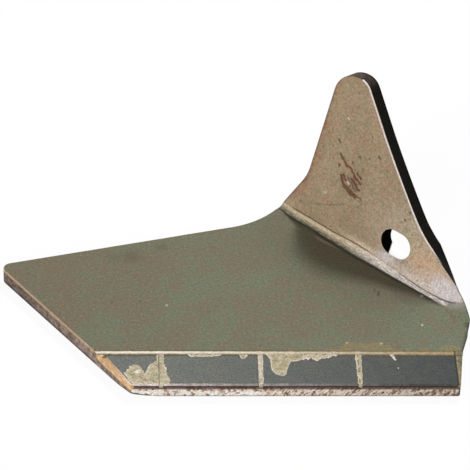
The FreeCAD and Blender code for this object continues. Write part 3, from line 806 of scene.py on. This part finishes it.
# Sintered carbide is a dull blue-grey, cloudy over 2 to 4 mm. The tiles get darker to the right.
carbide, cloud, fine_grain = new_material(
    "sintered carbide", 0.55, 0.0, 0.15, [(3.4, 5, 0.6), (1, 4, 0.85)])
carbide_place = add(carbide, "ShaderNodeTexCoord").outputs["Object"]
tile_x = add(carbide, "ShaderNodeSeparateXYZ", links={0: carbide_place}).outputs["X"]
cloudy = (cloud, 0.38, 0.62, 0, 1)
pale_tile = painted(carbide, "6A6E6B", ("74746D", cloudy))
dark_tile = painted(carbide, "3B3F40", ("454743", cloudy))
# Painted highlight on the tiles' front faces, brightest on the left tiles.
rim_tint = painted(
    carbide, "F2DEDC",
    ("B4A8A6", (tile_x, (EDGE_LEFT + 15) * MM, (EDGE_LEFT + 40) * MM, 0, 1)),
    ("525250", (tile_x, (EDGE_LEFT + 45) * MM, (EDGE_LEFT + 130) * MM, 0, 1)))
tile_tint = painted(
    carbide, pale_tile,
    (dark_tile, (tile_x, (EDGE_LEFT + 20) * MM, (EDGE_RIGHT - 5) * MM, 0, 1)),
    (rim_tint, "bright"),
    # Painted shade low on the front faces, over the groove under the tiles.
    ("3A2A24", "shadowed"))
finish(carbide, tile_tint, fine_grain, 0.42, 0.02)
tile_boxes = {}
for number in range(1, 5):
    node = f"carbide_tile_{number}"
    tile_from, tile_to = (np.array(corner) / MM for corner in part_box(node))
    left_rear, right_end = tile_from[0], tile_to[0]
    left_front = left_rear + (FIRST_TILE_RUN if number == 1 else 0)
    tile_boxes[number] = (left_front, left_rear, right_end)
    tile_corners = [
        (left_front, EDGE_FRONT), (right_end, EDGE_FRONT), (right_end, TILE_REAR), (left_rear, TILE_REAR)]
    tile_places, tile_faces, (bright, shadowed) = tile_surface(tile_corners, 0.4, 40 + 7 * number)
    tile = new_piece(f"tile_{number}", tile_places, tile_faces, node)
    store(tile, bright=bright, shadowed=shadowed)
    tile.data.materials.append(carbide)

# Braze
# Brazing brass, melted in with the torch round and under the tiles. It stands a little proud in the
# seams, has crept over the tiles in places, and its rough run-off covers the front and the flank.

# Brass under a grey film of flux: straw to olive, cream where it is bare, dark in its pits, and dark along
# the tiles and the step's wall as painted shade.
brass, tarnish, brass_grain = new_material(
    "brazing brass", 0.6, 0.0, 0.3, [(2.6, 5, 0.6), (0.7, 2, 0.7)])
brass_tint = painted(
    brass, "7E734E",
    ("BCB086", (tarnish, 0.36, 0.64, 0, 1)),
    ("5C5738", "dull"),
    ("C8A072", "gold"),
    ("F4E8DA", "pale"),
    # Pits, and painted shade along the tiles and the step's wall.
    ("3A3222", "pit"))
finish(brass, brass_tint, brass_grain, 0.2, 0.06)

# The bed: one skin over the step, cut by the tiles' outlines. Its columns lean with the flank and
# with the first tile's slanted side, and a knot line runs on both sides of each tile's border.
SIDE_GAP = 0.02
row_levels = np.concatenate([
    np.linspace(0, TILE_WIDTH - SIDE_GAP, 46), np.linspace(TILE_WIDTH + SIDE_GAP, STEP_DEPTH, 14)])
knot_lines = [(EDGE_LEFT, -1 / flank_slope)]
for left_front, left_rear, right_end in tile_boxes.values():
    lean = (left_rear - left_front) / TILE_WIDTH
    knot_lines += [(left_front - SIDE_GAP, lean), (left_front + SIDE_GAP, lean),
                   (right_end - SIDE_GAP, 0), (right_end + SIDE_GAP, 0)]
knot_lines.append((EDGE_RIGHT, STEP_FLARE / STEP_DEPTH))
knot_x = np.array([start + lean * row_levels for start, lean in knot_lines]).T
column_counts = np.maximum(1, np.round(np.diff(knot_x[-1]) / 0.4).astype(int))
column_shares = np.concatenate(
    [knot + np.arange(count) / count for knot, count in enumerate(column_counts)] + [[len(column_counts)]])
skin_x = np.stack([np.interp(column_shares, np.arange(knot_x.shape[1]), row) for row in knot_x])
skin_y = np.repeat(EDGE_FRONT + row_levels[:, None], skin_x.shape[1], axis=1)
column_cell = np.floor(column_shares + 1e-9)[None, :]
tile_cells = np.arange(2, 16, 4)
tile_columns = np.isin(column_cell, tile_cells) | np.isin(np.round(column_shares, 6), tile_cells + 1)
on_tile = (row_levels[:, None] < TILE_WIDTH) & tile_columns
back_row = skin_y > TILE_REAR
from_tiles = np.where(back_row, skin_y - TILE_REAR, 9.0)
from_wall = STEP_REAR - skin_y
bead = 0.13 + 0.08 * patchy(skin_x, skin_y, 1.6, 61) + 0.05 * patchy(skin_x, skin_y, 0.7, 62)
bead = bead * np.clip(np.minimum(from_tiles / 0.9, from_wall / 0.5), 0, 1) ** 0.5
bead -= 0.35 * bell(from_tiles, 0.45) + 0.05
skin_z = np.where(on_tile, TILE_BED, THICKNESS + bead)
skin_places = np.stack([skin_x, skin_y, skin_z], axis=-1).reshape(-1, 3)
skin_numbers = np.arange(skin_x.size).reshape(skin_x.shape)
rim = np.concatenate([
    skin_numbers[0, :-1], skin_numbers[:-1, -1], skin_numbers[-1, :0:-1], skin_numbers[:0:-1, 0]])
foot_places = skin_places[rim].copy()
foot_places[:, 2] = STEP_FLOOR
foot_ring = len(skin_places) + np.arange(len(rim))
rim_quads = np.stack([rim, foot_ring, np.roll(foot_ring, -1), np.roll(rim, -1)], axis=-1)
skin_quads = grid_quads(skin_numbers[:-1, :-1], skin_x.shape[1])
bed_faces = [*skin_quads.tolist(), *rim_quads.tolist(), foot_ring[::-1].tolist()]
bed = new_piece("braze_bed", np.vstack([skin_places, foot_places]), bed_faces, "braze_metal")
bed.data.materials.append(brass)

# The bed is pale behind the tiles and in the seams, golden in the first tile's margin, dark in its
# pits at the scorched corner and right of the last tile, and painted dark as shade along the tiles and
# at the step's wall.
leftness = between(skin_x, EDGE_LEFT + 150, EDGE_LEFT + 20)
margin = (column_cell < 2) & (skin_y < TILE_REAR + 1)
lap = EDGE_LEFT + FIRST_TILE_MARGIN - (skin_y - EDGE_FRONT) * FIRST_TILE_RUN / TILE_WIDTH - skin_x
past_tiles = skin_x - tile_boxes[4][2]
end_fill = np.where(past_tiles < 0.5, 1.0, 0.62 - 0.35 * bell(past_tiles - 1.1, 0.35)) * (past_tiles > -0.1)
seams = [tile_boxes[number][2] + 0.9 for number in range(1, 4)]
in_seam = np.any([np.abs(skin_x - seam) < 1.2 for seam in seams], axis=0)
pale_row = back_row * (0.06 + 0.84 * leftness) * between(from_wall + 0.7 * leftness, 1.0, 1.4)
pale_row = pale_row * between(from_tiles, 1.2, 1.8)
pale_margin = 0.8 * margin * between(skin_y, EDGE_FRONT + 12, EDGE_FRONT + 7) * bell(lap, 0.5)
scorch = margin * between(skin_y, TILE_REAR - 2.5, TILE_REAR - 1) * (patchy(skin_x, skin_y, 1.5, 63) > -0.1)
# Painted shade in the groove along the tiles and at the step's wall.
along_tiles = 0.75 * np.exp(-((from_tiles / (1.1 + 0.2 * leftness)) ** 4))
at_wall = 0.6 * back_row * bell(from_wall, 1.0 - 0.6 * leftness)
bed_marks = {
    "pale": np.maximum.reduce([pale_row, pale_margin, in_seam * (0.25 + 0.4 * leftness)]),
    "dull": back_row * (1 - leftness) * 0.25,
    "pit": np.maximum.reduce([along_tiles, at_wall, scorch * 0.9, end_fill]),
    "gold": np.maximum(margin * 1.0, back_row * (1 - leftness) * 0.3),
}
for name, values in bed_marks.items():
    store(bed, **{name: np.concatenate([values.ravel(), np.zeros(len(rim))])})


def grit(x, y, size, seed):
    """Lumps on a jittered lattice: the height of the nearest lump, 1 - (distance / size)^2, and a
    random number that stays with that lump."""
    jitter = np.random.default_rng(seed).uniform(0, 1, (3, 128, 1024))
    column, row = np.floor(x / size).astype(int), np.floor(y / size).astype(int)
    nearest = np.full(np.shape(x), 9.0)
    kind = np.zeros(np.shape(x))
    for step_column in (-1, 0, 1):
        for step_row in (-1, 0, 1):
            cell = ((row + step_row) % 128, (column + step_column) % 1024)
            lump_x = (column + step_column + jitter[0][cell]) * size
            lump_y = (row + step_row + jitter[1][cell]) * size
            distance = np.hypot(x - lump_x, y - lump_y) / size
            closer = distance < nearest
            kind = np.where(closer, jitter[2][cell], kind)
            nearest = np.where(closer, distance, nearest)
    return np.clip(1 - nearest**2, 0, 1), kind


def crust(name, path, start_profile, end_profile, ease, lumps, seed):
    """A crust carried along a path on the plate's edge, as a piece. A profile is the outline of its
    section, as pairs of reach in front of the edge and height, and over the first ease mm it
    changes evenly from the start's to the end's. lumps gives the height of the lumps and their
    random number from the run and the way round the section. With the piece come the run, that way
    from 0 to 1, and the two."""
    spacing = 0.22
    step = np.concatenate([[0], np.cumsum(np.linalg.norm(np.diff(path, axis=0), axis=1))])
    run = np.linspace(0, step[-1], int(step[-1] / spacing))
    base = np.stack([np.interp(run, step, path[:, axis]) for axis in (0, 1)], axis=1)
    ahead = np.gradient(base, axis=0)
    ahead /= np.linalg.norm(ahead, axis=1)[:, None]
    ends = np.array([start_profile, end_profile], float)
    way = np.concatenate([[0], np.cumsum(np.linalg.norm(np.diff(ends[1], axis=0), axis=1))])
    even = np.linspace(0, way[-1], int(way[-1] / spacing) + 1)
    sections = np.array([[np.interp(even, way, profile[:, axis]) for axis in (0, 1)] for profile in ends])
    share = between(run, 0, ease)[:, None]
    reach_out, level = (sections[0][axis] * (1 - share) + sections[1][axis] * share for axis in (0, 1))
    run_grid, way_grid = run[:, None] + 0 * even, even + 0 * run[:, None]
    lump, kind = lumps(run_grid, way_grid, seed)
    taper = np.clip(np.minimum(run_grid, run[-1] - run_grid) / 0.8, 0, 1) ** 0.5
    face = np.sin(np.linspace(0, math.pi, len(even))) ** 0.4
    out = reach_out * taper + (lump * (0.4 + 0.6 * kind) - 0.1) * face * taper
    x, y = base[:, 0, None] + ahead[:, 1, None] * out, base[:, 1, None] - ahead[:, 0, None] * out
    places = np.stack([x, y, level + 0 * out], axis=-1).reshape(-1, 3)
    rows, columns = out.shape
    caps = [list(range(columns))[::-1], [(rows - 1) * columns + i for i in range(columns)]]
    piece = new_piece(name, places, [*ring_quads(rows, columns).tolist(), *caps], "braze_metal")
    return piece, (run_grid, way_grid / way[-1], lump, kind)


edge_line = folded(outline_along, outline_across, np.zeros(len(outline)))[:, :2]
corner_end = int(np.argmax(edge_line[:, 0] > EDGE_LEFT + 0.6))
front_end = int(np.argmax(edge_line[:, 0] > EDGE_RIGHT - 0.4))
flank_steps = int(27.2 / OUTLINE_SPACING)
front_path = edge_line[corner_end - 2:front_end]
flank_path = np.vstack([edge_line[-flank_steps:], edge_line[:corner_end + 2]])


def front_lumps(run, way, seed):
    """Grit of the front: round blobs of 1.3 mm at the left give way to grains of 0.85 mm that lean."""
    blobs, blob_kind = grit(run, way, 1.3, seed)
    grains, grain_kind = grit(run + 0.6 * way, way * 0.6, 0.85, seed + 1)
    share = np.clip((run - 55) / 25 + 0.3 * patchy(run, way, 6.0, seed + 2), 0, 1)
    return (blobs * (1 - share) + grains * share) * 0.5, np.where(share > 0.5, grain_kind, blob_kind)


def flank_lumps(run, way, seed):
    """Smooth swells of the flank's run-off, 3 mm long, with a finer ripple on them."""
    swell = 0.5 + 0.5 * patchy(run, way, 3.0, seed)
    ripple, kind = grit(run, way, 0.9, seed + 1)
    return swell * 0.22 + ripple * 0.08, kind


strip_end = [(-0.1, 5.9), (0.0, 5.8), (0.1, 5.0), (0.1, 1.3), (0.0, 0.6), (-0.1, 0.45)]
strip_start = [(-0.1, 5.9), (0.0, 5.8), (0.1, 5.0), (0.1, 3.4), (-0.1, 2.8), (-0.6, 2.4)]
strip, (run, way, lump, kind) = crust(
    "front_run_off", front_path, strip_start, strip_end, 9.0, front_lumps, 71)
whites = sum(bell(run - middle, reach) for middle, reach in ((6, 6), (32, 9), (54, 7)))
white = np.clip(whites * 1.6 * between(way, 0.35, 0.6), 0, 1)
ragged = np.clip(0.8 + 1.2 * patchy(run, way * 6, 1.8, 75), 0, 1)
store(strip, way=way, lump=lump / 0.5, kind=kind, whiteness=white * ragged)

# Run-off full of flux glass and oxide: cream and pink grains, brown between them, white where the
# glass is thick and a little darker to the right.
flux, flux_grain = new_material("granular braze run-off", 0.55, 0.0, 0.3, [(0.7, 3, 0.7)])
flux_place = add(flux, "ShaderNodeTexCoord").outputs["Object"]
flux_x = add(flux, "ShaderNodeSeparateXYZ", links={0: flux_place}).outputs["X"]
grains = painted(
    flux, "94745C", ("EEDAC8", ("kind", 0.2, 0.45, 0, 1)), ("FBF1E6", ("kind", 0.6, 0.9, 0, 1)))
flux_tint = painted(
    flux, "2C2016",
    (grains, ("lump", 0.36, 0.62, 0, 1)),
    ("FFFBF4", "whiteness"),
    # Painted shade along the strip's top, under the tiles' front.
    ("4A3024", ("way", 0.16, 0.26, 0.85, 0)),
    ("4E3B2C", (flux_x, (EDGE_LEFT + 60) * MM, (EDGE_LEFT + 140) * MM, 0, 0.28)))
finish(flux, flux_tint, flux_grain, 0.18, 0.08)
strip.data.materials.append(flux)

spill_start = [(-2.6, 7.9), (-1.2, 8.1), (-0.1, 7.95), (0.3, 7.4), (0.3, 5.4), (0.2, 4.9), (-0.1, 4.6)]
spill_end = [(-0.3, 7.75), (0.0, 7.75), (0.2, 7.4), (0.25, 6.8), (0.25, 4.0), (0.1, 3.2), (-0.6, 2.6)]
spill, (run, way, *_) = crust("flank_run_off", flank_path, spill_start, spill_end, 24.0, flank_lumps, 77)
store(spill, way=way, run=run)

# The flank's run-off is rich in copper: gold, with a painted highlight along the tile and painted shade at
# its lower rim.
gold, gold_clouds, gold_grain = new_material(
    "copper-rich braze", 0.42, 0.3, 0.3, [(3, 5, 0.6), (0.8, 2, 0.7)])
wander = {0: share_of(gold, "way"), 1: share_of(gold, (gold_clouds, 0.3, 0.7, -0.12, 0.12))}
wavy_way = add(gold, "ShaderNodeMath", links=wander, operation="ADD").outputs[0]
gold_tint = painted(
    gold, "B98A5C",
    ("EBC698", (gold_clouds, 0.36, 0.62, 0, 1)),
    # Painted highlight along the tile.
    ("F0DCCB", ("way", 0.02, 0.16, 0.8, 0)),
    # Painted shade at the lower rim.
    ("3E2A1E", (wavy_way, 0.7, 0.8, 0, 0.9)),
    ("4A3424", ("run", 1.5, 4.0, 0.8, 0)))
finish(gold, gold_tint, gold_grain, 0.12, 0.06)
spill.data.materials.append(gold)


def outline_gap(x, y, loop):
    """How far each place lies inside a closed loop: the distance to its nearest side, negative
    outside the loop."""
    places = np.stack([x.ravel(), y.ravel()], axis=1)
    start, end = loop, np.roll(loop, -1, axis=0)
    run = end - start
    share = ((places[:, None] - start) * run).sum(2) / (run**2).sum(1)
    nearest = start + np.clip(share, 0, 1)[..., None] * run
    gap = np.linalg.norm(places[:, None] - nearest, axis=2).min(1)
    return np.where(inside(places, loop), gap, -gap).reshape(x.shape)


def film(name, origin, offsets, thickness, seed, pale=0.25, dark_line=None, ragged=0.22, pits=0.75):
    """Braze that has crept over the tiles: over the outline it rises to its thickness by
    1 - exp(-gap / 0.4), in fine lumps. The outline is given from a seam's middle and the cutting
    edge, and a flat foot in the tile's face closes the piece."""
    loop = np.array(offsets, float) + (origin, EDGE_FRONT)
    low, high = loop.min(0) - 1, loop.max(0) + 1
    x, y = np.meshgrid(np.arange(low[0], high[0], 0.25), np.arange(low[1], high[1], 0.25))
    gap = outline_gap(x, y, loop) + ragged * patchy(x, y, 1.1, seed)
    lump, kind = grit(x - loop[0, 0], y - loop[0, 1], 0.8, seed + 1)
    height = thickness * (1 - np.exp(-np.maximum(gap, 0) / 0.4)) * (0.7 + 0.6 * lump * kind) - 0.06
    shown = gap > -0.15
    row, column = np.nonzero(shown[:-1, :-1] & shown[1:, :-1] & shown[:-1, 1:] & shown[1:, 1:])
    quads = grid_quads(row * x.shape[1] + column, x.shape[1])
    sides = np.concatenate([quads[:, [i, (i + 1) % 4]] for i in range(4)])
    keys = sides[:, 0].astype(np.int64) * x.size + sides[:, 1]
    back = sides[:, 1].astype(np.int64) * x.size + sides[:, 0]
    rim = sides[~np.isin(keys, back)]
    walls = np.stack([rim[:, 1], rim[:, 0], rim[:, 0] + x.size, rim[:, 1] + x.size], axis=-1)
    levels = (TILE_TOP + height, np.full(x.shape, TILE_TOP - 0.12))
    places = np.vstack([np.stack([x, y, level], axis=-1).reshape(-1, 3) for level in levels])
    faces = np.vstack([quads, quads[:, ::-1] + x.size, walls])
    used, packed = np.unique(faces, return_inverse=True)
    piece = new_piece(name, places[used], packed.reshape(faces.shape).tolist(), "braze_metal")
    paleness = np.clip(pale * (0.4 + 1.6 * kind * lump) + 0.45 * bell(gap - 0.25, 0.3), 0, 1)
    pit = np.clip((0.55 - lump) * 2.4, 0, 1) * (kind > 0.4) * pits
    if dark_line is not None:
        pit = np.maximum(pit, 0.85 * bell(x - origin - dark_line, 0.22))
    for mark, values in (("pale", paleness), ("pit", pit), ("dull", 0 * pit), ("gold", 0 * pit)):
        store(piece, **{mark: np.concatenate([values.ravel(), values.ravel()])[used]})
    piece.data.materials.append(brass)


film("first_tile_smear", seams[0], [
    (-15.6, 3.0), (-12.8, 0.1), (4.1, 0.1), (4.2, 2.7), (2.8, 8.7), (1.8, 14.8), (1.2, 21.5), (-1.3, 21.5),
    (-2.0, 15.7), (-3.9, 14.4), (-6.2, 11.8), (-7.7, 7.0), (-8.4, 10.5), (-9.8, 12.7), (-12.1, 13.5),
    (-14.5, 12.2), (-17.4, 7.5)], 0.28, 81, pale=0.2, dark_line=-0.9, ragged=0.55, pits=0.9)
film("first_tile_crumb", seams[0], [
    (-12.9, 8.6), (-11.2, 10.6), (-9.3, 9.8), (-8.9, 7.6), (-10.6, 6.4), (-12.2, 7.0)],
    0.4, 103, pale=0.75, ragged=0.7, pits=0.95)
film("second_tile_sag", seams[0], [
    (11.9, 21.1), (13.9, 19.0), (21.3, 18.8), (26.7, 19.2), (31.5, 20.9)], 0.2, 91, pale=0.2)
film("second_tile_drop", seams[1], [
    (-10.1, 20.8), (-8.6, 17.8), (-7.6, 17.1), (-6.6, 17.9), (-5.2, 20.8)], 0.24, 95, pale=0.2)
film("second_seam_bead", seams[1], [
    (-1.1, 0.1), (1.3, 0.1), (1.5, 8.0), (1.6, 15.0), (1.8, 21.5), (-0.7, 21.5), (-0.8, 14.0)],
    0.16, 83, pale=0.3, dark_line=-0.6, pits=0.2)
film("third_tile_drip", seams[1], [
    (2.6, 21.3), (4.9, 17.1), (5.0, 11.1), (6.8, 7.2), (10.4, 5.2), (12.1, 6.7), (13.1, 11.1), (14.6, 15.2),
    (19.0, 16.3), (21.0, 18.0), (21.5, 21.3)], 0.28, 87, pale=0.14)
film("third_tile_tail", seams[1], [
    (18.5, 21.3), (19.0, 16.2), (23.2, 17.3), (24.6, 18.2), (26.4, 16.4), (28.2, 16.2), (29.0, 18.0),
    (31.3, 17.4), (34.8, 19.2), (38.5, 20.0), (41.0, 21.3)], 0.2, 89, pale=0.3, ragged=0.7)
film("third_seam_bead", seams[2], [
    (-1.4, 0.1), (1.1, 0.1), (1.4, 10.0), (1.6, 21.5), (-1.7, 21.5), (-1.4, 10.0)],
    0.16, 85, pale=0.1, dark_line=-0.25, pits=0.15)
film("fourth_tile_streak", seams[2], [
    (14.6, 21.0), (16.4, 17.6), (17.4, 16.3), (18.2, 16.9), (17.4, 18.4), (16.8, 21.0)], 0.2, 97, pale=0.3)
film("fourth_tile_fleck", seams[2], [
    (18.1, 10.6), (19.0, 10.6), (19.1, 11.5), (18.2, 11.5)], 0.2, 99, pale=0.8)

# Setting
# The share lies on a white card under two soft lamps, a small one high behind it, which lets the
# upright shade the blade, and a wide one at the front left.


def seen_directly(owner):
    """1 on rays from the camera and on mirrored or refracted ones, and 0 on the rays of light."""
    path = add(owner, "ShaderNodeLightPath").outputs
    seen = path["Is Camera Ray"]
    for kind in ("Glossy", "Transmission"):
        links = {0: seen, 1: path[f"Is {kind} Ray"]}
        seen = add(owner, "ShaderNodeMath", links=links, operation="MAXIMUM").outputs[0]
    return seen


floor_mesh = bpy.data.meshes.new("floor")
reach, below = 4.0, -0.0002
corners = [(-reach, -reach, below), (reach, -reach, below), (reach, reach, below), (-reach, reach, below)]
floor_mesh.from_pydata(corners, [], [(0, 1, 2, 3)])
floor = bpy.data.objects.new("floor", floor_mesh)
bpy.context.scene.collection.objects.link(floor)
card = bpy.data.materials.new("white card")
card.use_nodes = True
card.node_tree.nodes.clear()
card_white = add(card, "ShaderNodeBsdfDiffuse", {"Color": linear("C4C4C4")})
card_glow = add(card, "ShaderNodeEmission", {"Color": (1, 1, 1, 1), "Strength": 1.06})
card_share = share_of(card, (seen_directly(card), 0, 1, 0, 0.88))
card_parts = {0: card_share, 1: card_white.outputs[0], 2: card_glow.outputs[0]}
card_mix = add(card, "ShaderNodeMixShader", links=card_parts)
add(card, "ShaderNodeOutputMaterial", links={"Surface": card_mix.outputs[0]})
floor_mesh.materials.append(card)

world = bpy.data.worlds.new("studio")
world.use_nodes = True
backdrop = world.node_tree.nodes["Background"]
backdrop.inputs["Color"].default_value = (1, 1, 1, 1)
world_light = share_of(world, (seen_directly(world), 0, 1, 0.22, 1.0))
world.node_tree.links.new(world_light, backdrop.inputs["Strength"])
bpy.context.scene.world = world


def soft_lamp(name, place, size, watts):
    """A square area lamp that faces the share's middle."""
    light = bpy.data.lights.new(name, "AREA")
    light.size = size
    light.energy = watts
    lamp = bpy.data.objects.new(name, light)
    lamp.location = place
    lamp.rotation_euler = (-Vector(place)).to_track_quat("-Z", "Y").to_euler()
    bpy.context.scene.collection.objects.link(lamp)


soft_lamp("rear lamp", (0.312, 0.588, 1.117), 0.14, 10.0)
soft_lamp("front lamp", (-0.9, -1.1, 0.6), 0.6, 15.4)

# The camera looks down by 40 degrees through a long lens.
TILT, PAN, ROLL = math.radians(40), math.radians(-3.5), math.radians(2.4)
FOCAL_PX, FRAME_PX, PX_PER_MM, FRONT_PX = 3000, 470, 2.13, 161.5
right = np.array([math.cos(PAN), math.sin(PAN), 0])
ahead = np.array([-math.sin(PAN) * math.cos(TILT), math.cos(PAN) * math.cos(TILT), -math.sin(TILT)])
over = np.cross(right, ahead)
right, over = math.cos(ROLL) * right + math.sin(ROLL) * over, math.cos(ROLL) * over - math.sin(ROLL) * right
target = np.array([EDGE_LEFT + 49.0, EDGE_FRONT, 0])
seen_from = target + over * FRONT_PX / PX_PER_MM - ahead * FOCAL_PX / PX_PER_MM
camera_data = bpy.data.cameras.new("camera")
camera_data.lens = FOCAL_PX / FRAME_PX * camera_data.sensor_width
camera_data.clip_end = 20
camera = bpy.data.objects.new("camera", camera_data)
axes = np.eye(4)
axes[:3, 0], axes[:3, 1], axes[:3, 2], axes[:3, 3] = right, over, -ahead, seen_from * MM
camera.matrix_world = Matrix(axes.tolist())
bpy.context.scene.collection.objects.link(camera)
bpy.context.scene.camera = camera
bpy.context.scene.view_settings.view_transform = "Standard"
